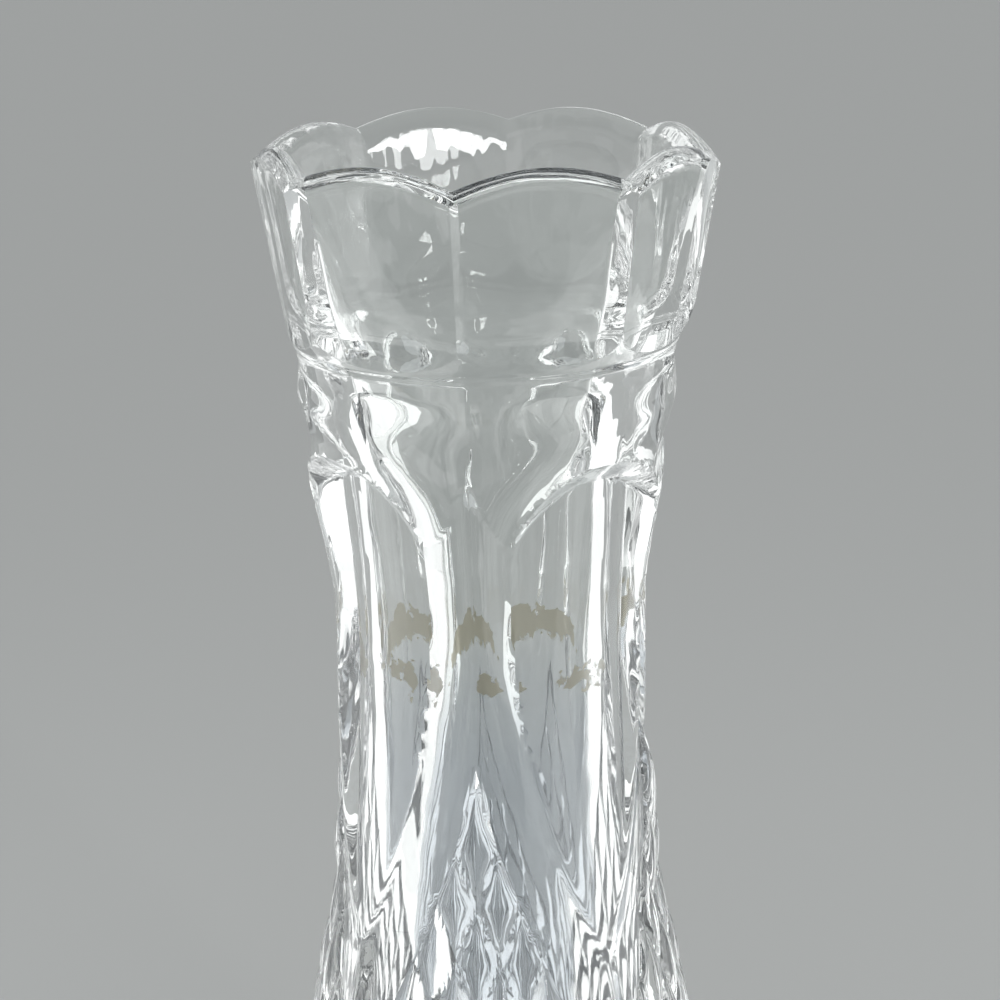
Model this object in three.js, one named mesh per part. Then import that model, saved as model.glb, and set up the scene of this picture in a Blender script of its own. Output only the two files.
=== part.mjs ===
// A bud vase of clear pressed glass, in millimetres. It stands on Z = 0 with its axis on Z, mouth up.
// A corner of the crown and the middle of a field of diamonds face -Y. Angles run from -Y towards +X.
import * as THREE from 'three';

const degree = Math.PI / 180;

// Heights of the stretches of the outside, from the table up
const footRoundHeight = 2.5;
const footRingHeight = 4.5;
const footNeckHeight = 6.5;
const lowerBellyHeight = 27.4;
const upperBellyHeight = 67;
const neckFlareHeight = 38;
const neckHeight = 29.3;
const shoulderHeight = 4.6;
const waistHeight = 2.7;
const heelHeight = 4.7;
const crownWallHeight = 16.7;
const petalRise = 2.1;
const rimDomeHeight = 1.5;

// Radii of the outside, from the table up
const recessRadius = 21;
const restRadius = 26.5;
const footRadius = 29;
const footNeckRadius = 27.5;
const bellyRadius = 32;
const neckFlareRadius = 22.05;
const neckRadius = 20.3;
const shoulderRadius = 24.1;
const waistRadius = 23.5;
const seamRadius = 23.9;
const heelCornerRadius = 26.1;
const crownCornerRadius = 29;

// How the outside curves between its radii
const lowerBellyPower = 2;
const upperBellyPower = 1.5;
const neckFlarePower = 1.35;
const heelPower = 1.5;

// Crown: flat facets that meet in corners, with a petal of the rim on each facet
const facetCount = 8;
const heelRoundness = 0.55;
const rimWidth = 4.2;
const innerCreaseDrop = 0.4;

// Hollow: the bowl in the crown, the funnel under it, and the tapered bore
const bowlWallDepth = 13;
const bowlCornerRadius = 21.7;
const bowlRoundness = 0.75;
const funnelHeight = 30;
const boreTopRadius = 13.6;
const boreBottomRadius = 12.2;
const boreRoundHeight = 9;
const baseThickness = 17;
const recessDepth = 1.2;

// Leaf-shaped panels on the neck, flat across, with a ledge under each arch
const panelCount = 4;
const panelTopDrop = 4.3;
const panelArchHeight = 12;
const panelTaperLength = 54.5;
const panelHalfWidth = 31.5 * degree;
const panelTaperPower = 2.1;
const ledgeSlope = 1.2;

// A channel with a round bottom between each two panels, from the shoulder down to a field of diamonds
const channelLead = 1.3;
const channelRun = 12;
const channelDepth = 2.8;
const channelPower = 1.8;

// The channel's sides follow the arches, and fade out on the shoulder
const archSlopeDepth = 2.3;
const archSlopeLead = 4;
const archSlopeRun = 14;

// Diamonds between crossing grooves: each field starts with one diamond and gains one in every row
const diamondCount = 24;
const firstRowDrop = 24.5;
const firstDiamondTop = 10.2;
const rowPitch = 7.5;
const grooveDepth = 1.2;
const pillowPower = 1.5;

// Columns and rings of the surface
const bodyColumns = 2 * diamondCount;
const neckColumns = 4 * diamondCount;
const archSteps = 5;
const panelSteps = 5;
const crownSteps = 3;
const heelSteps = 2;
const shoulderSteps = 2;
const roundSteps = 4;
const funnelSteps = 8;
const boreSteps = 6;
const halvings = 30;

// Heights above the table of the places where one stretch meets the next
const footTop = footRingHeight + footNeckHeight;
const bellyLevel = footTop + lowerBellyHeight;
const flareLevel = bellyLevel + upperBellyHeight;
const narrowLevel = flareLevel + neckFlareHeight;
const shoulderLevel = narrowLevel + neckHeight;
const waistLevel = shoulderLevel + shoulderHeight;
const seamLevel = waistLevel + waistHeight;
const heelTop = seamLevel + heelHeight;
const cornerLevel = heelTop + crownWallHeight;
const firstRowLevel = narrowLevel - firstRowDrop;
const bowlFoot = cornerLevel - bowlWallDepth;
const boreTop = bowlFoot - funnelHeight;
const boreFoot = baseThickness + boreRoundHeight;
const panelTop = shoulderLevel - panelTopDrop;
const panelSpring = panelTop - panelArchHeight;
const channelTop = shoulderLevel + channelLead;
const archSlopeTop = shoulderLevel + archSlopeLead;

const facetAngle = 2 * Math.PI / facetCount;
const facetCosine = Math.cos(facetAngle / 2);
const panelAngle = 2 * Math.PI / panelCount;
const diamondAngle = 2 * Math.PI / diamondCount;
const mergeRow = diamondCount / panelCount;
const lastRow = Math.floor(1 + (firstRowLevel - footTop) / rowPitch);

const mix = (from, to, share) => from + (to - from) * share;
const clamp = (value, low, high) => Math.min(Math.max(value, low), high);
const ease = (share) => (1 - Math.cos(Math.PI * share)) / 2;

// The angle from the nearest of the places that repeat round the vase
function fold(angle, period) {
  return angle - period * Math.round(angle / period);
}

// Height of a row's middle; rows between whole numbers lie between two middles
function rowLevel(row) {
  return firstRowLevel - (row - 1) * (row < 1 ? firstDiamondTop : rowPitch);
}

function rowAt(level) {
  return 1 + (firstRowLevel - level) / (level > firstRowLevel ? firstDiamondTop : rowPitch);
}

// Radius of the turned outline from the foot's neck up to the seam under the crown
function turnedRadius(level) {
  if (level < bellyLevel) {
    const share = (bellyLevel - level) / lowerBellyHeight;
    return mix(bellyRadius, footNeckRadius, share ** lowerBellyPower);
  }
  if (level < flareLevel) {
    const share = (level - bellyLevel) / upperBellyHeight;
    return mix(bellyRadius, neckFlareRadius, share ** upperBellyPower);
  }
  if (level < narrowLevel) {
    const share = (narrowLevel - level) / neckFlareHeight;
    return mix(neckRadius, neckFlareRadius, share ** neckFlarePower);
  }
  if (level < shoulderLevel) {
    return mix(neckRadius, shoulderRadius, ease((level - narrowLevel) / neckHeight));
  }
  if (level < waistLevel) {
    return mix(shoulderRadius, waistRadius, ease((level - shoulderLevel) / shoulderHeight));
  }
  return mix(waistRadius, seamRadius, (level - waistLevel) / waistHeight);
}

// Half the width, as an angle, of a panel under its arch: widest at the spring and pointed at its tip
function panelHalfWidthAt(level) {
  const share = clamp((panelSpring - level) / panelTaperLength, 0, 1);
  return panelHalfWidth * (1 - share ** panelTaperPower);
}

// How far a place above the spring lies past an arch: 0 on the arch, -1 in the middle of its foot
function pastArch(offCentre, level) {
  return Math.hypot(offCentre / panelHalfWidth, (level - panelSpring) / panelArchHeight) - 1;
}

// Radius of a panel's surface; past the leaf's edge it lies outside the neck and cuts nothing
function panelRadius(offCentre, level) {
  const turned = turnedRadius(level);
  const flat = turned * Math.cos(panelHalfWidthAt(level)) / Math.cos(offCentre);
  if (level <= panelSpring) return flat;
  return Math.max(flat, turned + ledgeSlope * panelArchHeight * pastArch(offCentre, level));
}

// Depth of a channel's bottom; past the first rows it is as shallow as the grooves among the diamonds
function channelDepthAt(level) {
  const out = clamp((channelTop - level) / channelRun, 0, 1);
  const down = clamp((narrowLevel - level) / (narrowLevel - rowLevel(2)), 0, 1);
  return ease(out) * mix(channelDepth, grooveDepth, ease(down));
}

// Depth of the slope outside an arch, which starts on the arch as steep as the channel's side
function archSlopeDepthAt(offCentre, level) {
  if (level <= panelSpring) return 0;
  const channelHalfWidth = panelAngle / 2 - panelHalfWidth;
  const share = clamp(1 - pastArch(offCentre, level) * panelHalfWidth / channelHalfWidth, 0, 1);
  const fade = ease(clamp((archSlopeTop - level) / archSlopeRun, 0, 1));
  return archSlopeDepth * fade * (1 - share ** channelPower);
}

// How deep a field's grooves are at a place, from 0 on a diamond's point to 1 along the bottom of a groove
function grooveShare(angle, level) {
  const row = rowAt(level);
  const across = Math.abs(fold(angle, panelAngle)) / (diamondAngle / 2);
  const rising = (across + row - 1) / 2;
  const falling = (across - row + 1) / 2;
  return (2 * Math.max(Math.abs(fold(rising, 1)), Math.abs(fold(falling, 1)))) ** pillowPower;
}

// Outside of the body and neck, with the panels, channels and diamonds cut into the turned outline
function bodyRadius(angle, level) {
  const offCentre = Math.abs(fold(angle - panelAngle / 2, panelAngle));
  const fromChannel = panelAngle / 2 - offCentre;
  const fieldEdge = Math.max(rowAt(level), 0) * diamondAngle / 2;
  const depth = channelDepthAt(level);
  const crest = panelAngle / 2 - panelHalfWidthAt(level);
  const side = level > panelSpring ? crest * depth / channelDepth : crest;
  let share = 0;
  if (fromChannel < fieldEdge) share = grooveShare(angle, level);
  else if (fromChannel < side) share = 1 - ((fromChannel - fieldEdge) / (side - fieldEdge)) ** channelPower;
  const cut = Math.max(depth * share, archSlopeDepthAt(offCentre, level));
  return Math.min(turnedRadius(level) - cut, panelRadius(offCentre, level));
}

// A corner on every facet's edge; roundness 0 leaves flat facets and 1 makes a circle
function facetedRadius(angle, cornerRadius, roundness) {
  const offCentre = fold(angle - facetAngle / 2, facetAngle);
  return cornerRadius * mix(facetCosine / Math.cos(offCentre), 1, roundness);
}

function crownWallRadius(angle, level) {
  const drop = cornerLevel - level;
  const cornerRadius = mix(crownCornerRadius, heelCornerRadius, drop / crownWallHeight);
  const share = Math.max(drop, 0) / (crownWallHeight + heelHeight);
  return facetedRadius(angle, cornerRadius, heelRoundness * share ** 2);
}

function heelRadius(level) {
  const share = clamp((level - seamLevel) / heelHeight, 0, 1);
  return mix(seamRadius, heelCornerRadius, 1 - (1 - share) ** heelPower);
}

// Height at which a facet runs out on the round heel, by halving: lowest in the facet's middle
function heelEdgeLevel(angle) {
  let low = seamLevel;
  let high = heelTop;
  for (let turn = 0; turn < halvings; turn += 1) {
    const middle = (low + high) / 2;
    if (heelRadius(middle) < crownWallRadius(angle, middle)) low = middle;
    else high = middle;
  }
  return low;
}

// How far the rim stands above its corners: an arch over every facet
function petalHeight(angle) {
  const offCentre = fold(angle - facetAngle / 2, facetAngle) / (facetAngle / 2);
  return petalRise * (1 - offCentre ** 2);
}

function bowlRadius(angle, level) {
  const share = (cornerLevel - level) / bowlWallDepth;
  const cornerRadius = mix(crownCornerRadius - rimWidth, bowlCornerRadius, share);
  return facetedRadius(angle, cornerRadius, bowlRoundness * clamp(share, 0, 1));
}

// The rim is a low dome between an outer and an inner crease
function rimPoint(angle, share) {
  const outerLevel = cornerLevel + petalHeight(angle);
  const innerLevel = outerLevel - innerCreaseDrop;
  const outer = crownWallRadius(angle, outerLevel);
  const inner = bowlRadius(angle, innerLevel);
  const dome = rimDomeHeight * Math.sin(Math.PI * share);
  return [mix(outer, inner, share), mix(outerLevel, innerLevel, share) + dome];
}

// Whole steps from one number to another, the last one included
function steps(from, to, count) {
  return Array.from({ length: count }, (_, index) => mix(from, to, (index + 1) / count));
}

// A ring is a number of columns and a rule that gives radius and height at an angle
const flatRing = (columns, radius, level) => ({ columns, at: () => [radius, level] });
const bodyRing = (columns, level) => ({ columns, at: (angle) => [bodyRadius(angle, level), level] });
const crownRing = (at) => ({ columns: bodyColumns, at });

function footRings() {
  const roundRings = steps(0, Math.PI / 2, roundSteps).map((turn) => {
    const radius = mix(restRadius, footRadius, Math.sin(turn));
    return flatRing(bodyColumns, radius, footRoundHeight * (1 - Math.cos(turn)));
  });
  const neckedRings = steps(0, 1, roundSteps).map((share) => (
    flatRing(bodyColumns, mix(footRadius, footNeckRadius, ease(share)), mix(footRingHeight, footTop, share))
  ));
  return [
    flatRing(bodyColumns, recessRadius - recessDepth, recessDepth),
    flatRing(bodyColumns, recessRadius, 0),
    flatRing(bodyColumns, restRadius, 0),
    ...roundRings,
    flatRing(bodyColumns, footRadius, footRingHeight),
    ...neckedRings,
  ];
}

function diamondRings() {
  const rings = [];
  for (let row = lastRow; row > mergeRow; row -= 1) rings.push(bodyRing(bodyColumns, rowLevel(row)));
  for (let half = 2 * mergeRow; half >= 0; half -= 1) rings.push(bodyRing(neckColumns, rowLevel(half / 2)));
  return rings;
}

function neckRings() {
  const straight = steps(rowLevel(0), panelSpring, panelSteps);
  const arch = steps(0, Math.PI / 2, archSteps).map((turn) => mix(panelSpring, panelTop, Math.sin(turn)));
  const shoulder = steps(panelTop, channelTop, shoulderSteps);
  return [...straight, ...arch, ...shoulder].map((level) => bodyRing(neckColumns, level));
}

function crownRings() {
  const rings = [bodyRing(bodyColumns, waistLevel), bodyRing(bodyColumns, seamLevel)];
  for (const share of steps(0, 1, heelSteps)) {
    rings.push(crownRing((angle) => {
      const level = mix(seamLevel, heelEdgeLevel(angle), share);
      return [heelRadius(level), level];
    }));
  }
  for (const share of steps(0, 1, crownSteps)) {
    rings.push(crownRing((angle) => {
      const level = mix(heelEdgeLevel(angle), cornerLevel + petalHeight(angle), share);
      return [crownWallRadius(angle, level), level];
    }));
  }
  for (const share of steps(0, 1, roundSteps)) rings.push(crownRing((angle) => rimPoint(angle, share)));
  return rings;
}

function bowlRings() {
  const rings = [];
  for (const share of steps(0, 1, crownSteps)) {
    rings.push(crownRing((angle) => {
      const level = mix(cornerLevel + petalHeight(angle) - innerCreaseDrop, bowlFoot, share);
      return [bowlRadius(angle, level), level];
    }));
  }
  for (const share of steps(0, 1, funnelSteps)) {
    const level = mix(bowlFoot, boreTop, share);
    rings.push(crownRing((angle) => [mix(bowlRadius(angle, level), boreTopRadius, ease(share)), level]));
  }
  return rings;
}

function boreRings() {
  const rings = steps(0, 1, boreSteps).map((share) => (
    flatRing(bodyColumns, mix(boreTopRadius, boreBottomRadius, share), mix(boreTop, boreFoot, share))
  ));
  for (const turn of steps(0, Math.PI / 2, roundSteps).slice(0, -1)) {
    const level = boreFoot - boreRoundHeight * Math.sin(turn);
    rings.push(flatRing(bodyColumns, boreBottomRadius * Math.cos(turn), level));
  }
  return rings;
}

// One closed surface: from the middle of the underside up the outside, over the rim and down the bore
function closedSurface(rings, startLevel, endLevel) {
  const points = [[0, 0, startLevel]];
  const triangles = [];
  const placed = rings.map(({ columns, at }) => {
    const first = points.length;
    const radii = [];
    for (let column = 0; column < columns; column += 1) {
      const angle = 2 * Math.PI * column / columns;
      const [radius, level] = at(angle);
      points.push([radius * Math.sin(angle), -radius * Math.cos(angle), level]);
      radii.push(radius);
    }
    return { columns, first, radii };
  });
  points.push([0, 0, endLevel]);

  const fan = (ring, pole, upward) => {
    for (let column = 0; column < ring.columns; column += 1) {
      const here = ring.first + column;
      const next = ring.first + (column + 1) % ring.columns;
      triangles.push(upward ? [pole, here, next] : [pole, next, here]);
    }
  };

  // Each cell is split along its lower diagonal, so that the bottom of a groove is an edge
  const joinEqual = (lower, upper) => {
    for (let column = 0; column < lower.columns; column += 1) {
      const after = (column + 1) % lower.columns;
      const [a, b] = [lower.first + column, lower.first + after];
      const [c, d] = [upper.first + column, upper.first + after];
      const rising = lower.radii[column] + upper.radii[after];
      const falling = lower.radii[after] + upper.radii[column];
      if (rising <= falling) triangles.push([a, b, d], [a, d, c]);
      else triangles.push([a, b, c], [b, d, c]);
    }
  };

  // One coarse column meets two fine ones; the triangle on the coarse edge ends on the middle fine point
  const joinDouble = (coarse, fine, coarseBelow) => {
    for (let column = 0; column < coarse.columns; column += 1) {
      const [a, b] = [coarse.first + column, coarse.first + (column + 1) % coarse.columns];
      const [c, d] = [fine.first + 2 * column, fine.first + 2 * column + 1];
      const e = fine.first + (2 * column + 2) % fine.columns;
      const cell = [[a, b, d], [a, d, c], [b, e, d]];
      triangles.push(...(coarseBelow ? cell : cell.map(([p, q, r]) => [p, r, q])));
    }
  };

  fan(placed[0], 0, false);
  for (let index = 1; index < placed.length; index += 1) {
    const [lower, upper] = [placed[index - 1], placed[index]];
    if (lower.columns === upper.columns) joinEqual(lower, upper);
    else if (lower.columns < upper.columns) joinDouble(lower, upper, true);
    else joinDouble(upper, lower, false);
  }
  fan(placed[placed.length - 1], points.length - 1, true);

  const geometry = new THREE.BufferGeometry();
  geometry.setAttribute('position', new THREE.Float32BufferAttribute(points.flat(), 3));
  geometry.setIndex(triangles.flat());
  geometry.computeVertexNormals();
  return geometry;
}

function makeVase() {
  const rings = [
    ...footRings(),
    ...diamondRings(),
    ...neckRings(),
    ...crownRings(),
    ...bowlRings(),
    ...boreRings(),
  ];
  const glass = new THREE.MeshStandardMaterial({
    color: 0xdfe6e2,
    roughness: 0.05,
    metalness: 0,
    transparent: true,
    opacity: 0.35,
  });
  const vase = new THREE.Mesh(closedSurface(rings, recessDepth, baseThickness), glass);
  vase.name = 'vase';
  return vase;
}

const budVase = new THREE.Group();
budVase.add(makeVase());

export default budVase;
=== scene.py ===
"""A bud vase of clear pressed glass on a plain pale table.

The vase is one closed skin of glass: it starts as a grid, is rolled round the axis and placed ring by ring, from the
middle of the underside, up the outside, over the rim and down to the bottom of the bore. Sizes of the vase are in
millimetres and angles in degrees until a mesh is placed, in metres.
"""

from __future__ import annotations

import logging
import math
from dataclasses import dataclass, field
from enum import Enum
from typing import Any

import bmesh
import bpy
import numpy as np
from mathutils import Matrix, Vector

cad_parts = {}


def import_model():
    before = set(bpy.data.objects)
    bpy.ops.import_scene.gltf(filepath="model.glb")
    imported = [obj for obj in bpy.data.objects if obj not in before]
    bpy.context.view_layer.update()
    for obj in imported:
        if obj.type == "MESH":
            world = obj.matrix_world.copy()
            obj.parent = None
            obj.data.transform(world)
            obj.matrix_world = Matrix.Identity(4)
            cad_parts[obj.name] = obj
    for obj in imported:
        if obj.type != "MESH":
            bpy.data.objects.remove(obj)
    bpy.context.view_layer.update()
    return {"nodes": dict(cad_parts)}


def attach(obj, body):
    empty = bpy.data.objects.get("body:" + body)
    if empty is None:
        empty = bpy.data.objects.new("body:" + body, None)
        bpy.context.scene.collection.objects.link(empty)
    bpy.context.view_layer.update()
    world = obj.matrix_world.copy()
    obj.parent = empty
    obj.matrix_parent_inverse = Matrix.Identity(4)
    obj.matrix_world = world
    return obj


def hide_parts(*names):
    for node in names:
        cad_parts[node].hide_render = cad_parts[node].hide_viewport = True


LOG = logging.getLogger("bud_vase")
MM = 0.001

Angles = np.ndarray
Ring = tuple[np.ndarray, np.ndarray]


def mix(start: Any, end: Any, share: Any) -> Any:
    """Value that lies the given share of the way from start to end."""
    return start + (end - start) * share


def ease(share: Any) -> Any:
    """Share that leaves 0 and reaches 1 without a kink."""
    return (1 - np.cos(np.pi * share)) / 2


def fold(value: Any, period: float) -> Any:
    """Distance from the nearest whole multiple of the period, with its sign."""
    return value - period * np.round(value / period)


def soft_min(first: Any, second: Any, crease: float) -> Any:
    """Lower of two surfaces, with their crease rounded.

    Args:
        first: Radii of one surface.
        second: Radii of the other surface.
        crease: Difference in radius over which one surface turns into the other.

    Returns:
        Radii of the joined surface.
    """
    overlap = np.maximum(crease - np.abs(first - second), 0) / crease
    return np.minimum(first, second) - crease * overlap**2 / 4


def soft_abs(value: Any, crease: float) -> Any:
    """Absolute value with its kink rounded, and 0 kept at 0."""
    return np.sqrt(value**2 + crease**2) - crease


def steps(start: float, end: float, count: int) -> np.ndarray:
    """Even steps from start to end, the last one included and the first one not."""
    return np.linspace(start, end, count + 1)[1:]


@dataclass(frozen=True)
class Heights:
    """Heights of the stretches of the outside, from the table up."""

    foot_round: float = 2.5
    foot_ring: float = 4.5
    foot_neck: float = 6.5
    lower_belly: float = 27.4
    upper_belly: float = 67.0
    neck_flare: float = 38.0
    neck: float = 29.3
    shoulder: float = 4.6
    waist: float = 2.7
    heel: float = 4.7
    crown_wall: float = 16.7

    @property
    def foot_top(self) -> float:
        """Level at which the foot's neck meets the belly."""
        return self.foot_ring + self.foot_neck

    @property
    def belly_level(self) -> float:
        """Level of the widest place."""
        return self.foot_top + self.lower_belly

    @property
    def flare_level(self) -> float:
        """Level at which the neck starts to widen into the body."""
        return self.belly_level + self.upper_belly

    @property
    def narrow_level(self) -> float:
        """Level of the narrowest place of the neck."""
        return self.flare_level + self.neck_flare

    @property
    def shoulder_level(self) -> float:
        """Level of the round shoulder over the neck."""
        return self.narrow_level + self.neck

    @property
    def waist_level(self) -> float:
        """Level of the groove over the shoulder."""
        return self.shoulder_level + self.shoulder

    @property
    def seam_level(self) -> float:
        """Level of the mould seam under the crown."""
        return self.waist_level + self.waist

    @property
    def heel_top(self) -> float:
        """Level at which the crown's corners run out on its heel."""
        return self.seam_level + self.heel

    @property
    def corner_level(self) -> float:
        """Level of the lowest points of the rim, on the crown's corners."""
        return self.heel_top + self.crown_wall


@dataclass(frozen=True)
class TurnedOutline:
    """The round outline of the foot, body and neck, before anything is cut into it."""

    heights: Heights = field(default_factory=Heights)
    recess_radius: float = 21.0
    recess_depth: float = 1.2
    rest_radius: float = 26.5
    foot_radius: float = 29.0
    foot_neck_radius: float = 27.5
    belly_radius: float = 32.0
    neck_flare_radius: float = 22.05
    neck_radius: float = 20.3
    shoulder_radius: float = 24.1
    waist_radius: float = 23.5
    seam_radius: float = 23.9
    lower_belly_power: float = 2.0
    upper_belly_power: float = 1.5
    neck_flare_power: float = 1.35
    seam_bead: float = 0.25
    seam_half_width: float = 0.45

    def radius(self, level: float) -> float:
        """Radius of the outline.

        Args:
            level: Height above the table, from the foot's neck up to the seam under the crown.

        Returns:
            Radius in millimetres.
        """
        at = self.heights
        if level < at.belly_level:
            share = (at.belly_level - level) / at.lower_belly
            return mix(self.belly_radius, self.foot_neck_radius, share**self.lower_belly_power)
        if level < at.flare_level:
            share = (level - at.belly_level) / at.upper_belly
            return mix(self.belly_radius, self.neck_flare_radius, share**self.upper_belly_power)
        if level < at.narrow_level:
            share = (at.narrow_level - level) / at.neck_flare
            return mix(self.neck_radius, self.neck_flare_radius, share**self.neck_flare_power)
        if level < at.shoulder_level:
            return mix(self.neck_radius, self.shoulder_radius, ease((level - at.narrow_level) / at.neck))
        if level < at.waist_level:
            return mix(self.shoulder_radius, self.waist_radius, ease((level - at.shoulder_level) / at.shoulder))
        return mix(self.waist_radius, self.seam_radius, (level - at.waist_level) / at.waist)

    def bead(self, level: Any) -> Any:
        """Height of the fine ridge that the mould seam leaves, at a level near it."""
        off = np.abs(level - self.heights.seam_level) / self.seam_half_width
        return self.seam_bead * np.clip(1 - off, 0, 1)


@dataclass(frozen=True)
class Leaf:
    """Outline of a leaf that is arched at its top and pointed at its tip, as half widths in degrees."""

    top: float
    spring: float
    tip: float
    half_width: float
    taper_power: float

    def width_at(self, level: float) -> float:
        """Half of the leaf's width at a level, in degrees."""
        if not self.tip < level < self.top:
            return 0.0
        if level > self.spring:
            share = (level - self.spring) / (self.top - self.spring)
            return self.half_width * math.sqrt(1 - share**2)
        share = (self.spring - level) / (self.spring - self.tip)
        return self.half_width * (1 - share**self.taper_power)


@dataclass(frozen=True)
class DiamondCut:
    """Crossing grooves that leave diamonds: each field starts with one and gains one in every row."""

    heights: Heights = field(default_factory=Heights)
    around: int = 24
    fields: int = 4
    first_row_drop: float = 24.5
    first_top: float = 10.2
    row_pitch: float = 7.5
    groove_depth: float = 1.2
    groove_softness: float = 0.1
    ridge_softness: float = 0.1
    pillow_power: float = 1.5

    @property
    def first_level(self) -> float:
        """Level of the middle of the single diamond at the top of each field."""
        return self.heights.narrow_level - self.first_row_drop

    def level(self, row: float) -> float:
        """Level of a row's middle; rows between whole numbers lie between two middles."""
        return self.first_level - (row - 1) * (self.first_top if row < 1 else self.row_pitch)

    def row(self, level: float) -> float:
        """Row at a level: the inverse of level."""
        return 1 + (self.first_level - level) / (self.first_top if level > self.first_level else self.row_pitch)

    def across(self, angles: Angles) -> np.ndarray:
        """Distance from the middle of the nearest field, in half diamonds."""
        return np.abs(fold(angles, 360 / self.fields)) * 2 * self.around / 360

    def share(self, angles: Angles, level: float) -> np.ndarray:
        """Share of the grooves' full depth, 0 on a diamond's point and 1 along the bottom of a groove.

        Args:
            angles: Degrees round the axis.
            level: Height above the table.

        Returns:
            Shares inside the fields; outside them the values mean nothing.
        """
        row = self.row(level)
        across = self.across(angles)
        rising = fold((across + row - 1) / 2, 1)
        falling = fold((across - row + 1) / 2, 1)
        side = soft_abs(rising + falling, self.ridge_softness)
        end = soft_abs(rising - falling, self.ridge_softness)
        share = (side + end) ** self.pillow_power
        rounding = soft_abs(1.0, self.groove_softness)
        return np.clip(1 - soft_abs(1 - share, self.groove_softness) / rounding, 0, 1)


@dataclass(frozen=True)
class PanelCut:
    """Leaf-shaped panels round the neck, with a hollow channel between each two that ends on a field of diamonds."""

    outline: TurnedOutline = field(default_factory=TurnedOutline)
    diamonds: DiamondCut = field(default_factory=DiamondCut)
    count: int = 4
    top_drop: float = 4.3
    arch_height: float = 12.0
    taper_length: float = 54.5
    half_width: float = 31.5
    taper_power: float = 2.1
    ledge_slope: float = 1.2
    channel_lead: float = 1.3
    channel_run: float = 12.0
    channel_depth: float = 2.8
    channel_power: float = 1.8
    slope_depth: float = 2.3
    slope_lead: float = 4.0
    slope_run: float = 14.0
    crease: float = 0.25
    narrowest_side: float = 0.01

    @property
    def top(self) -> float:
        """Level of the top of a panel."""
        return self.outline.heights.shoulder_level - self.top_drop

    @property
    def spring(self) -> float:
        """Level from which a panel's arch springs."""
        return self.top - self.arch_height

    @property
    def leaf(self) -> Leaf:
        """Outline of a panel."""
        return Leaf(self.top, self.spring, self.spring - self.taper_length, self.half_width, self.taper_power)

    def channel(self, level: float) -> float:
        """Depth of the channel: it runs out on the shoulder, and is as shallow as the grooves among the diamonds."""
        heights = self.outline.heights
        out = np.clip((heights.shoulder_level + self.channel_lead - level) / self.channel_run, 0, 1)
        shallow_level = self.diamonds.level(2)
        down = np.clip((heights.narrow_level - level) / (heights.narrow_level - shallow_level), 0, 1)
        return ease(out) * mix(self.channel_depth, self.diamonds.groove_depth, ease(down))

    def past_arch(self, off_centre: Angles, level: float) -> np.ndarray:
        """How far a place above the spring lies past an arch: 0 on the arch, -1 in the middle of its foot."""
        return np.hypot(off_centre / self.half_width, (level - self.spring) / self.arch_height) - 1

    def arch_slope(self, off_centre: Angles, level: float) -> np.ndarray:
        """Depth of the slope outside an arch: it goes on from the channel's side and fades out on the shoulder.

        Args:
            off_centre: Degrees from the middle of the nearest panel.
            level: Height above the table.

        Returns:
            Depths in millimetres.
        """
        if level <= self.spring:
            return np.zeros_like(off_centre)
        channel_half_width = 180 / self.count - self.half_width
        share = np.clip(1 - self.past_arch(off_centre, level) * self.half_width / channel_half_width, 0, 1)
        top = self.outline.heights.shoulder_level + self.slope_lead
        fade = ease(np.clip((top - level) / self.slope_run, 0, 1))
        return self.slope_depth * fade * (1 - share**self.channel_power)

    def panel(self, off_centre: Angles, level: float) -> np.ndarray:
        """Radius of a panel: flat across, with a ledge under its arch, and wider than the neck outside the leaf.

        Args:
            off_centre: Degrees from the middle of the nearest panel.
            level: Height above the table.

        Returns:
            Radii in millimetres.
        """
        turned = self.outline.radius(level)
        width = self.half_width if level > self.spring else self.leaf.width_at(level)
        flat = turned * math.cos(math.radians(width)) / np.cos(np.radians(off_centre))
        if level <= self.spring:
            return flat
        return np.maximum(flat, turned + self.ledge_slope * self.arch_height * self.past_arch(off_centre, level))

    def radius(self, angles: Angles, level: float) -> np.ndarray:
        """Radius of the neck and body with the panels, channels and diamonds cut into the outline.

        Args:
            angles: Degrees round the axis.
            level: Height above the table.

        Returns:
            Radii in millimetres.
        """
        period = 360 / self.count
        off_centre = np.abs(fold(angles - period / 2, period))
        from_channel = period / 2 - off_centre
        depth = self.channel(level)
        border = max(self.diamonds.row(level), 0.0) * 180 / self.diamonds.around
        if level > self.spring:
            side = (period / 2 - self.half_width) * depth / self.channel_depth
        else:
            side = period / 2 - self.leaf.width_at(level)
        reach = max(side - border, self.narrowest_side)
        outside = 1 - np.clip((from_channel - border) / reach, 0, 1) ** self.channel_power
        share = np.where(from_channel < border, self.diamonds.share(angles, level), outside)
        cut = np.maximum(depth * share, self.arch_slope(off_centre, level))
        return soft_min(self.outline.radius(level) - cut, self.panel(off_centre, level), self.crease)


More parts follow.
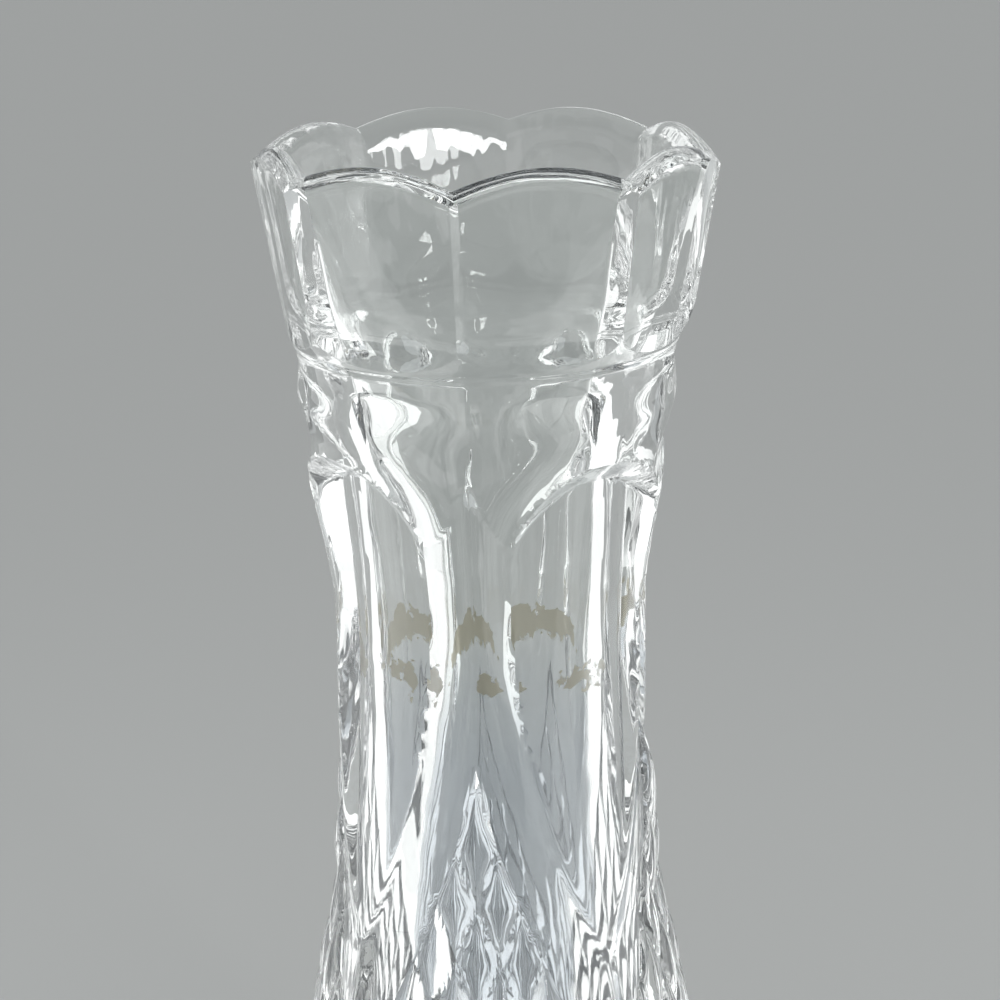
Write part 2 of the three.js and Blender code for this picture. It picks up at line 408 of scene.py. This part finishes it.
@dataclass(frozen=True)
class Crown:
    """The crown: flat facets that meet in corners, a petal of the rim on each, and the bowl inside."""

    outline: TurnedOutline = field(default_factory=TurnedOutline)
    facets: int = 8
    corner_radius: float = 29.0
    heel_corner_radius: float = 26.1
    heel_power: float = 1.5
    heel_roundness: float = 0.55
    petal_rise: float = 2.1
    rim_dome: float = 1.5
    rim_width: float = 4.2
    inner_crease_drop: float = 0.4
    bowl_depth: float = 13.0
    bowl_corner_radius: float = 21.7
    bowl_roundness: float = 0.75

    @property
    def heights(self) -> Heights:
        """Heights of the whole vase."""
        return self.outline.heights

    @property
    def bowl_foot(self) -> float:
        """Level at which the bowl's wall turns into the funnel."""
        return self.heights.corner_level - self.bowl_depth

    def off_centre(self, angles: Angles) -> np.ndarray:
        """Degrees from the middle of the nearest facet."""
        facet = 360 / self.facets
        return fold(angles - facet / 2, facet)

    def faceted(self, angles: Angles, corner: Any, roundness: Any) -> np.ndarray:
        """Radius of a many-sided plan: roundness 0 leaves flat facets, and 1 makes a circle."""
        flat = math.cos(math.pi / self.facets) / np.cos(np.radians(self.off_centre(angles)))
        return corner * mix(flat, 1.0, roundness)

    def wall(self, angles: Angles, levels: Any) -> np.ndarray:
        """Radius of the outer wall."""
        drop = self.heights.corner_level - levels
        corner = mix(self.corner_radius, self.heel_corner_radius, drop / self.heights.crown_wall)
        share = np.maximum(drop, 0) / (self.heights.crown_wall + self.heights.heel)
        return self.faceted(angles, corner, self.heel_roundness * share**2)

    def heel(self, levels: Any) -> Any:
        """Radius of the round heel under the facets."""
        share = np.clip((levels - self.heights.seam_level) / self.heights.heel, 0, 1)
        return mix(self.outline.seam_radius, self.heel_corner_radius, 1 - (1 - share) ** self.heel_power)

    def heel_edge(self, angles: Angles) -> np.ndarray:
        """Level at which each facet runs out on the heel, by halving."""
        low = np.full_like(angles, self.heights.seam_level)
        high = np.full_like(angles, self.heights.heel_top)
        halvings = 30
        for _ in range(halvings):
            middle = (low + high) / 2
            under = self.heel(middle) < self.wall(angles, middle)
            low = np.where(under, middle, low)
            high = np.where(under, high, middle)
        return low

    def petal(self, angles: Angles) -> np.ndarray:
        """Height of the rim's outer crease above the corners: an arch over every facet."""
        share = self.off_centre(angles) / (180 / self.facets)
        return self.petal_rise * (1 - share**2)

    def bowl(self, angles: Angles, levels: Any) -> np.ndarray:
        """Radius of the bowl's wall."""
        share = (self.heights.corner_level - levels) / self.bowl_depth
        corner = mix(self.corner_radius - self.rim_width, self.bowl_corner_radius, share)
        return self.faceted(angles, corner, self.bowl_roundness * np.clip(share, 0, 1))

    def heel_rings(self, angles: Angles, count: int) -> list[Ring]:
        """Rings from the seam to the lower edge of the facets."""
        rings = []
        for share in steps(0, 1, count):
            levels = mix(self.heights.seam_level, self.heel_edge(angles), share)
            rings.append((self.heel(levels) + self.outline.bead(levels), levels))
        return rings

    def wall_rings(self, angles: Angles, count: int) -> list[Ring]:
        """Rings from the lower edge of the facets to the rim's outer crease."""
        rings = []
        for share in steps(0, 1, count):
            levels = mix(self.heel_edge(angles), self.heights.corner_level + self.petal(angles), share)
            rings.append((self.wall(angles, levels), levels))
        return rings

    def rim_rings(self, angles: Angles, count: int) -> list[Ring]:
        """Rings over the domed rim, from its outer to its inner crease."""
        outer_levels = self.heights.corner_level + self.petal(angles)
        inner_levels = outer_levels - self.inner_crease_drop
        outer = self.wall(angles, outer_levels)
        inner = self.bowl(angles, inner_levels)
        rings = []
        for share in steps(0, 1, count):
            dome = self.rim_dome * math.sin(math.pi * share)
            rings.append((mix(outer, inner, share), mix(outer_levels, inner_levels, share) + dome))
        return rings

    def bowl_rings(self, angles: Angles, count: int) -> list[Ring]:
        """Rings down the bowl's wall, from the rim's inner crease."""
        top = self.heights.corner_level + self.petal(angles) - self.inner_crease_drop
        rings = []
        for share in steps(0, 1, count):
            levels = mix(top, self.bowl_foot, share)
            rings.append((self.bowl(angles, levels), levels))
        return rings


@dataclass(frozen=True)
class Hollow:
    """The smooth funnel under the bowl, and the tapered bore under it."""

    crown: Crown = field(default_factory=Crown)
    funnel_height: float = 30.0
    bore_top_radius: float = 13.6
    bore_bottom_radius: float = 12.2
    bore_round: float = 9.0
    base_thickness: float = 17.0

    def funnel_rings(self, angles: Angles, count: int) -> list[Ring]:
        """Rings down the funnel: the bowl's wall, drawn in smoothly to the bore."""
        rings = []
        for share in steps(0, 1, count):
            levels = np.full_like(angles, self.crown.bowl_foot - share * self.funnel_height)
            rings.append((mix(self.crown.bowl(angles, levels), self.bore_top_radius, ease(share)), levels))
        return rings

    def round_ring(self, angles: Angles, radius: float, level: float) -> Ring:
        """A round ring at one level."""
        return np.full_like(angles, radius), np.full_like(angles, level)

    def bore_rings(self, angles: Angles, bore: int, bottom: int) -> list[Ring]:
        """Rings down the bore to the middle of its bottom.

        Args:
            angles: Degrees round the axis.
            bore: Rings down the tapered bore.
            bottom: Rings round the bore's bottom.

        Returns:
            The rings, from the top down.
        """
        bore_top = self.crown.bowl_foot - self.funnel_height
        bore_foot = self.base_thickness + self.bore_round
        rings = []
        for share in steps(0, 1, bore):
            radius = mix(self.bore_top_radius, self.bore_bottom_radius, share)
            rings.append(self.round_ring(angles, radius, mix(bore_top, bore_foot, share)))
        for turn in steps(0, math.pi / 2, bottom):
            radius = self.bore_bottom_radius * math.cos(turn)
            rings.append(self.round_ring(angles, radius, bore_foot - self.bore_round * math.sin(turn)))
        return rings


@dataclass
class Vase:
    """The whole vase, one pressing of clear glass."""

    crown: Crown = field(default_factory=Crown)
    panels: PanelCut = field(default_factory=PanelCut)
    hollow: Hollow = field(default_factory=Hollow)
    columns: int = 288
    rings_per_row: int = 6
    neck_spacing: float = 0.6
    flat_rings: int = 4
    round_rings: int = 8
    wall_rings: int = 12
    bore_rings: int = 28
    weld_distance: float = 0.001
    sharp_angle: float = 30.0

    def foot_rings(self, angles: Angles) -> list[Ring]:
        """Rings from the middle of the underside to the top of the foot."""
        turned = self.panels.outline
        heights = turned.heights
        ring = self.hollow.round_ring
        rings = [ring(angles, share * (turned.recess_radius - turned.recess_depth), turned.recess_depth)
                 for share in np.linspace(0, 1, self.flat_rings)]
        rings += [ring(angles, radius, 0.0)
                  for radius in np.linspace(turned.recess_radius, turned.rest_radius, self.flat_rings)]
        for turn in steps(0, math.pi / 2, self.round_rings):
            radius = mix(turned.rest_radius, turned.foot_radius, math.sin(turn))
            rings.append(ring(angles, radius, heights.foot_round * (1 - math.cos(turn))))
        rings.append(ring(angles, turned.foot_radius, heights.foot_ring))
        for share in steps(0, 1, self.round_rings):
            radius = mix(turned.foot_radius, turned.foot_neck_radius, ease(share))
            rings.append(ring(angles, radius, mix(heights.foot_ring, heights.foot_top, share)))
        return rings

    def body_rings(self, angles: Angles) -> list[Ring]:
        """Rings up the cut body and neck, from the foot's neck to the seam under the crown."""
        turned = self.panels.outline
        diamonds = self.panels.diamonds
        heights = turned.heights
        last = math.floor(diamonds.row(heights.foot_top) * self.rings_per_row)
        levels = [diamonds.level(step / self.rings_per_row) for step in range(last, -1, -1)]
        neck_count = round((heights.waist_level - diamonds.level(0)) / self.neck_spacing)
        levels += list(steps(diamonds.level(0), heights.waist_level, neck_count))
        levels += list(steps(heights.waist_level, heights.seam_level, self.round_rings))
        rings = []
        for level in levels:
            radius = self.panels.radius(angles, level) + turned.bead(level)
            rings.append((radius, np.full_like(angles, level)))
        return rings

    def rings(self, angles: Angles) -> list[Ring]:
        """All the rings, from the middle of the underside to the middle of the bore's bottom."""
        return [
            *self.foot_rings(angles),
            *self.body_rings(angles),
            *self.crown.heel_rings(angles, self.round_rings),
            *self.crown.wall_rings(angles, self.wall_rings),
            *self.crown.rim_rings(angles, self.wall_rings),
            *self.crown.bowl_rings(angles, self.wall_rings),
            *self.hollow.funnel_rings(angles, 2 * self.wall_rings),
            *self.hollow.bore_rings(angles, self.bore_rings, self.round_rings),
        ]

    def build(self) -> bpy.types.Object:
        """Makes the glass.

        Returns:
            The closed mesh, at rest in the frame.
        """
        angles = np.linspace(0.0, 360.0, self.columns + 1)
        rings = self.rings(angles)
        bpy.ops.object.select_all(action="DESELECT")
        bpy.ops.mesh.primitive_grid_add(x_subdivisions=self.columns, y_subdivisions=len(rings) - 1, size=1)
        vase = bpy.context.object
        vase.name = "vase_glass"
        vase.data.name = "vase_glass"
        radii = np.array([ring[0] for ring in rings])
        levels = np.array([ring[1] for ring in rings])
        turns = np.radians(angles % 360.0)
        points = np.stack([radii * np.sin(turns), -radii * np.cos(turns), levels], axis=-1) * MM
        vase.data.vertices.foreach_set("co", points.astype(np.float32).ravel())
        self.split_along_grooves(vase.data)
        bpy.ops.object.mode_set(mode="EDIT")
        bpy.ops.mesh.select_all(action="SELECT")
        bpy.ops.mesh.remove_doubles(threshold=self.weld_distance * MM)
        bpy.ops.mesh.delete_loose()
        bpy.ops.mesh.select_all(action="SELECT")
        bpy.ops.mesh.normals_make_consistent(inside=False)
        bpy.ops.object.mode_set(mode="OBJECT")
        bpy.ops.object.shade_smooth_by_angle(angle=math.radians(self.sharp_angle))
        return vase

    def split_along_grooves(self, mesh: bpy.types.Mesh) -> None:
        """Splits each four-sided face along its more level diagonal, so that edges run along grooves and creases.

        Args:
            mesh: The rolled grid.
        """
        shape = bmesh.new()
        shape.from_mesh(mesh)
        reach = {vertex: vertex.co.xy.length for vertex in shape.verts}
        for face in list(shape.faces):
            a, b, c, d = face.verts
            if abs(reach[a] - reach[c]) <= abs(reach[b] - reach[d]):
                bmesh.utils.face_split(face, a, c)
            else:
                bmesh.utils.face_split(face, b, d)
        shape.to_mesh(mesh)
        shape.free()


def linear(code: str) -> tuple[float, float, float, float]:
    """Turns an sRGB hex colour to linear values.

    Args:
        code: Six hex digits after a hash.

    Returns:
        Red, green, blue and an alpha of 1.
    """
    channels = [int(code[place : place + 2], 16) / 255 for place in (1, 3, 5)]
    red, green, blue = [c / 12.92 if c <= 0.04045 else ((c + 0.055) / 1.055) ** 2.4 for c in channels]
    return red, green, blue, 1.0


def add_node(tree: bpy.types.NodeTree, kind: str, settings: dict[str, Any] | None = None,
             **inputs: Any) -> bpy.types.Node:
    """Adds a node with its settings and links.

    Args:
        tree: Node tree that the node goes in.
        kind: Blender's name for the node.
        settings: Properties of the node.
        inputs: Values or output sockets by input name, with underscores for spaces, or in_0, in_1 by place.

    Returns:
        The new node.
    """
    node = tree.nodes.new(kind)
    for name, value in (settings or {}).items():
        setattr(node, name, value)
    for name, value in inputs.items():
        socket = node.inputs[int(name[3:])] if name.startswith("in_") else node.inputs[name.replace("_", " ")]
        if isinstance(value, bpy.types.NodeSocket):
            tree.links.new(value, socket)
        else:
            socket.default_value = value
    return node


class Blend(Enum):
    """What a Mix node blends: its data type, then the places of its start, its end and its result."""

    COLOUR = ("RGBA", 6, 7, 2)
    NUMBER = ("FLOAT", 2, 3, 0)

    def add(self, tree: bpy.types.NodeTree, share: bpy.types.NodeSocket, start: Any,
            end: Any) -> bpy.types.NodeSocket:
        """Adds a Mix node.

        Args:
            tree: Node tree that the node goes in.
            share: How far the result lies from the start to the end.
            start: Value or output socket at a share of 0.
            end: Value or output socket at a share of 1.

        Returns:
            The blended value.
        """
        data_type, first, second, result = self.value
        node = add_node(tree, "ShaderNodeMix", {"data_type": data_type}, in_0=share,
                        **{f"in_{first}": start, f"in_{second}": end})
        return node.outputs[result]


@dataclass(frozen=True)
class WaterMark:
    """Lime left in the bore: beige dabs in a ring where the water stood, with a thin milky film under it."""

    ring_colour: str = "#C2B99C"
    film_colour: str = "#E4E9EF"
    ring_level: float = 138.4
    ring_half_height: float = 3.8
    edge_wander: float = 7.0
    edge_softness: float = 0.5
    patch_size: float = 3.0
    patch_detail: float = 5.0
    patch_roughness: float = 0.7
    dab_size: float = 10.0
    dab_detail: float = 4.0
    dab_roughness: float = 0.6
    dab_range: tuple[float, float] = (0.46, 0.6)
    dab_place: tuple[float, float, float] = (15.0, 4.0, 1.0)
    bore_limit: float = 15.5
    film_softness: float = 12.0
    ring_clearness: float = 0.62
    film_clearness: float = 0.86
    ring_roughness: float = 0.4
    film_roughness: float = 0.06

    def masks(self, tree: bpy.types.NodeTree, place: bpy.types.NodeSocket) -> tuple[bpy.types.NodeSocket, ...]:
        """Adds the nodes that say where the ring and the film are.

        Args:
            tree: Node tree of the glass.
            place: Object coordinates.

        Returns:
            The ring's and the film's shares, 0 to 1.
        """
        parts = add_node(tree, "ShaderNodeSeparateXYZ", Vector=place)
        flat = add_node(tree, "ShaderNodeVectorMath", {"operation": "MULTIPLY"}, in_0=place, in_1=(1.0, 1.0, 0.0))
        reach = add_node(tree, "ShaderNodeVectorMath", {"operation": "LENGTH"}, in_0=flat.outputs[0])
        inside = add_node(tree, "ShaderNodeMath", {"operation": "LESS_THAN"}, in_0=reach.outputs["Value"],
                          in_1=self.bore_limit * MM)
        patches = add_node(tree, "ShaderNodeTexNoise", Vector=place, Scale=1 / (self.patch_size * MM),
                           Detail=self.patch_detail, Roughness=self.patch_roughness)
        wander = add_node(tree, "ShaderNodeMath", {"operation": "MULTIPLY_ADD"}, in_0=patches.outputs["Fac"],
                          in_1=self.edge_wander * MM, in_2=-self.edge_wander / 2 * MM)
        level = add_node(tree, "ShaderNodeMath", {"operation": "ADD"}, in_0=parts.outputs["Z"],
                         in_1=wander.outputs[0])
        off = add_node(tree, "ShaderNodeMath", {"operation": "SUBTRACT"}, in_0=level.outputs[0],
                       in_1=self.ring_level * MM)
        moved = add_node(tree, "ShaderNodeVectorMath", {"operation": "ADD"}, in_0=place,
                         in_1=tuple(step * MM for step in self.dab_place))
        dabs = add_node(tree, "ShaderNodeTexNoise", Vector=moved.outputs[0], Scale=1 / (self.dab_size * MM),
                        Detail=self.dab_detail, Roughness=self.dab_roughness)
        spread = add_node(tree, "ShaderNodeMapRange", Value=dabs.outputs["Fac"], From_Min=self.dab_range[0],
                          From_Max=self.dab_range[1], To_Max=self.ring_half_height * MM)
        away = add_node(tree, "ShaderNodeMath", {"operation": "ABSOLUTE"}, in_0=off.outputs[0])
        margin = add_node(tree, "ShaderNodeMath", {"operation": "SUBTRACT"}, in_0=spread.outputs["Result"],
                          in_1=away.outputs[0])
        ring = add_node(tree, "ShaderNodeMapRange", Value=margin.outputs[0], From_Min=0.0,
                        From_Max=self.edge_softness * MM)
        ring_share = add_node(tree, "ShaderNodeMath", {"operation": "MULTIPLY"}, in_0=ring.outputs["Result"],
                              in_1=inside.outputs[0])
        film = add_node(tree, "ShaderNodeMapRange", Value=off.outputs[0], From_Min=0.0,
                        From_Max=-self.film_softness * MM)
        film_share = add_node(tree, "ShaderNodeMath", {"operation": "MULTIPLY"}, in_0=film.outputs["Result"],
                              in_1=inside.outputs[0])
        return ring_share.outputs[0], film_share.outputs[0]


@dataclass(frozen=True)
class PressedGlass:
    """Clear soda-lime glass, pressed in an iron mould and fire-polished.

    The polish gives sharp bright reflections. The mould leaves slow ripples and fine upright streaks in the skin,
    which make the bands that show through it waver.
    """

    tint: str = "#F8FAF9"
    ior: float = 1.52
    roughness: float = 0.012
    ripple_size: float = 8.0
    ripple_height: float = 0.15
    streak_size: float = 2.8
    streak_height: float = 0.05
    streak_stretch: float = 0.22
    skin_detail: float = 1.0
    mark: WaterMark = field(default_factory=WaterMark)

    def layered(self, tree: bpy.types.NodeTree, shares: tuple[bpy.types.NodeSocket, ...], kind: Blend,
                clean: Any, film: Any, ring: Any) -> bpy.types.NodeSocket:
        """Adds the nodes that lay the film and then the ring over the clean glass.

        Args:
            tree: Node tree of the glass.
            shares: Where the ring and the film are.
            kind: Whether the values are colours or numbers.
            clean: Value on clean glass.
            film: Value on the film.
            ring: Value on the ring.

        Returns:
            The blended value.
        """
        ring_share, film_share = shares
        return kind.add(tree, ring_share, kind.add(tree, film_share, clean, film), ring)

    def build(self) -> bpy.types.Material:
        """Makes the material."""
        material = bpy.data.materials.new("clear_pressed_glass")
        material.use_nodes = True
        tree = material.node_tree
        tree.nodes.clear()
        place = add_node(tree, "ShaderNodeTexCoord").outputs["Object"]
        ripple = add_node(tree, "ShaderNodeTexNoise", Vector=place, Scale=1 / (self.ripple_size * MM),
                          Detail=self.skin_detail)
        slow = add_node(tree, "ShaderNodeBump", Height=ripple.outputs["Fac"], Distance=self.ripple_height * MM)
        upright = add_node(tree, "ShaderNodeMapping", Vector=place, Scale=(1.0, 1.0, self.streak_stretch))
        streak = add_node(tree, "ShaderNodeTexNoise", Vector=upright.outputs[0], Scale=1 / (self.streak_size * MM),
                          Detail=self.skin_detail)
        fine = add_node(tree, "ShaderNodeBump", Height=streak.outputs["Fac"], Distance=self.streak_height * MM,
                        Normal=slow.outputs["Normal"])
        shares = self.mark.masks(tree, place)
        colour = self.layered(tree, shares, Blend.COLOUR, linear(self.tint), linear(self.mark.film_colour),
                              linear(self.mark.ring_colour))
        clearness = self.layered(tree, shares, Blend.NUMBER, 1.0, self.mark.film_clearness, self.mark.ring_clearness)
        roughness = self.layered(tree, shares, Blend.NUMBER, self.roughness, self.mark.film_roughness,
                                 self.mark.ring_roughness)
        # Clear all through, but for the lime: the film veils the bore and the ring hides what is behind it.
        glass = add_node(tree, "ShaderNodeBsdfPrincipled", Base_Color=colour, Roughness=roughness, IOR=self.ior,
                         Transmission_Weight=clearness, Normal=fine.outputs["Normal"])
        add_node(tree, "ShaderNodeOutputMaterial", Surface=glass.outputs["BSDF"])
        return material


@dataclass(frozen=True)
class TableTop:
    """Pale matt board under the vase: it keeps the soft shadow and gives no reflection."""

    colour: str = "#B9BBBA"
    roughness: float = 0.85

    def build(self) -> bpy.types.Material:
        """Makes the material."""
        material = bpy.data.materials.new("pale_matt_board")
        material.use_nodes = True
        tree = material.node_tree
        tree.nodes.clear()
        board = add_node(tree, "ShaderNodeBsdfPrincipled", Base_Color=linear(self.colour), Roughness=self.roughness)
        add_node(tree, "ShaderNodeOutputMaterial", Surface=board.outputs["BSDF"])
        return material


@dataclass(frozen=True)
class SoftBox:
    """A soft box of the studio, turned towards the vase: lengths in metres, foot and top as distance and height."""

    around: float
    foot: tuple[float, float]
    top: tuple[float, float]
    width: float
    brightness: float


class Lamp(Enum):
    """The studio's soft boxes, by degrees round from the camera."""

    LEFT_NEAR = SoftBox(around=-90.0, foot=(0.042, 0.003), top=(0.14, 0.036), width=0.24, brightness=0.78)
    LEFT_LOW = SoftBox(around=-93.0, foot=(0.14, 0.036), top=(0.32, 0.10), width=0.3, brightness=0.6)
    LEFT_WALL = SoftBox(around=-97.0, foot=(0.32, 0.10), top=(0.36, 0.42), width=0.42, brightness=0.55)
    RIGHT_NEAR = SoftBox(around=85.0, foot=(0.042, 0.003), top=(0.14, 0.036), width=0.24, brightness=0.78)
    RIGHT_LOW = SoftBox(around=88.0, foot=(0.14, 0.036), top=(0.32, 0.10), width=0.3, brightness=0.6)
    RIGHT_WALL = SoftBox(around=88.0, foot=(0.32, 0.10), top=(0.36, 0.42), width=0.42, brightness=0.55)
    WINDOW = SoftBox(around=29.0, foot=(1.0, 0.26), top=(1.0, 0.62), width=0.05, brightness=12.0)


@dataclass(frozen=True)
class PhotoCamera:
    """The photograph's viewpoint, with lengths in millimetres from the crown's corners and the vase's axis."""

    focal_pixels: float = 2383.0
    image_pixels: float = 1000.0
    sensor_width: float = 36.0
    distance: float = 290.0
    height: float = 48.4
    side_step: float = 1.3
    azimuth: float = 7.25
    pitch: float = 17.53
    roll: float = 1.15
    nearest: float = 10.0

    def build(self, crown_level: float) -> bpy.types.Object:
        """Places the camera and makes it the scene's own.

        Args:
            crown_level: Height of the crown's corners above the table, in millimetres.

        Returns:
            The camera.
        """
        turn, down, lean = (math.radians(value) for value in (self.azimuth, self.pitch, self.roll))
        outwards = Vector((math.sin(turn), -math.cos(turn), 0))
        sideways = Vector((math.cos(turn), math.sin(turn), 0))
        forward = -outwards * math.cos(down) - Vector((0, 0, math.sin(down)))
        upright = sideways.cross(forward)
        right = sideways * math.cos(lean) - upright * math.sin(lean)
        up = sideways * math.sin(lean) + upright * math.cos(lean)
        place = outwards * self.distance + sideways * self.side_step + Vector((0, 0, crown_level + self.height))
        bpy.ops.object.camera_add()
        camera = bpy.context.object
        camera.name = "photo_camera"
        camera.data.sensor_width = self.sensor_width
        camera.data.lens = self.focal_pixels / self.image_pixels * self.sensor_width
        camera.data.clip_start = self.nearest * MM
        axes = Matrix((right, up, -forward)).transposed().to_4x4()
        camera.matrix_world = Matrix.Translation(place * MM) @ axes
        bpy.context.scene.camera = camera
        return camera


@dataclass(frozen=True)
class Studio:
    """A plain pale table top, soft boxes and a soft surround."""

    table_radius: float = 4.0
    table_sides: int = 128
    watts_per_area: float = 4.0
    camera_azimuth: float = 7.25
    ceiling_tilt: float = 15.0
    ceiling_spread: float = 70.0
    ceiling_strength: float = 1.8
    near_side: str = "#EDEEEE"
    far_side: str = "#B9BCBD"
    overhead: str = "#3C4042"
    turn_back: tuple[float, float] = (-0.2, 0.9)
    horizon: tuple[float, float] = (0.2, 0.6)
    light_paths: int = 32

    def table(self) -> bpy.types.Object:
        """Makes the table top."""
        bpy.ops.object.select_all(action="DESELECT")
        bpy.ops.mesh.primitive_circle_add(vertices=self.table_sides, radius=self.table_radius, fill_type="NGON")
        table = bpy.context.object
        table.name = "table_top"
        table.data.materials.append(TableTop().build())
        return table

    def lamp(self, kind: Lamp) -> bpy.types.Object:
        """Sets up one soft box, out of the camera's sight."""
        box = kind.value
        turn = math.radians(self.camera_azimuth + box.around)
        outwards = Vector((math.sin(turn), -math.cos(turn), 0))
        foot, top = (outwards * reach + Vector((0, 0, level)) for reach, level in (box.foot, box.top))
        up = (top - foot).normalized()
        sideways = up.cross(outwards).normalized()
        facing = up.cross(sideways)
        bpy.ops.object.light_add(type="AREA")
        lamp = bpy.context.object
        lamp.name = f"soft_box_{kind.name.lower()}"
        axes = Matrix((sideways, up, -facing)).transposed().to_4x4()
        lamp.matrix_world = Matrix.Translation((foot + top) / 2) @ axes
        lamp.data.shape = "RECTANGLE"
        lamp.data.size = box.width
        lamp.data.size_y = (top - foot).length
        lamp.data.energy = self.watts_per_area * box.brightness * lamp.data.size * lamp.data.size_y
        lamp.visible_camera = False
        return lamp

    def ceiling(self) -> bpy.types.Object:
        """Lights the table evenly from overhead, out of the glass's reflections."""
        bpy.ops.object.light_add(type="SUN", rotation=(math.radians(self.ceiling_tilt), 0, 0))
        lamp = bpy.context.object
        lamp.name = "ceiling_light"
        lamp.data.energy = self.ceiling_strength
        lamp.data.angle = math.radians(self.ceiling_spread)
        lamp.visible_glossy = False
        lamp.visible_transmission = False
        return lamp

    def surround(self) -> None:
        """Gives the world its soft light, pale on the camera's side, greyer behind the vase and dim overhead."""
        world = bpy.data.worlds.new("soft_surround")
        bpy.context.scene.world = world
        world.use_nodes = True
        tree = world.node_tree
        tree.nodes.clear()
        place = add_node(tree, "ShaderNodeTexCoord")
        parts = add_node(tree, "ShaderNodeSeparateXYZ", Vector=place.outputs["Generated"])
        away = add_node(tree, "ShaderNodeMapRange", Value=parts.outputs["Y"], From_Min=self.turn_back[0],
                        From_Max=self.turn_back[1])
        colour = Blend.COLOUR.add(tree, away.outputs["Result"], linear(self.near_side), linear(self.far_side))
        rise = add_node(tree, "ShaderNodeMapRange", Value=parts.outputs["Z"], From_Min=self.horizon[0],
                        From_Max=self.horizon[1])
        dimmed = Blend.COLOUR.add(tree, rise.outputs["Result"], colour, linear(self.overhead))
        light = add_node(tree, "ShaderNodeBackground", Color=dimmed)
        add_node(tree, "ShaderNodeOutputWorld", Surface=light.outputs["Background"])

    def build(self) -> None:
        """Builds the table, the lamps and the surround, and lets light cross the thick glass many times."""
        self.table()
        for kind in Lamp:
            self.lamp(kind)
        self.ceiling()
        self.surround()
        cycles = bpy.context.scene.cycles
        cycles.max_bounces = self.light_paths
        cycles.glossy_bounces = self.light_paths
        cycles.transmission_bounces = self.light_paths


def main() -> None:
    """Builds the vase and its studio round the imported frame."""
    logging.basicConfig(level=logging.INFO, format="%(name)s: %(message)s")
    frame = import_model()
    LOG.info("frame loaded with nodes %s", sorted(frame["nodes"]))

    vase = Vase()
    glass = vase.build()
    glass.data.materials.append(PressedGlass().build())
    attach(glass, "root")
    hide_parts("vase")
    LOG.info("%s has %d triangles", glass.name, len(glass.data.polygons))

    Studio().build()
    PhotoCamera().build(vase.crown.heights.corner_level)
    bpy.context.scene.view_settings.view_transform = "Standard"


if __name__ == "__main__":
    main()
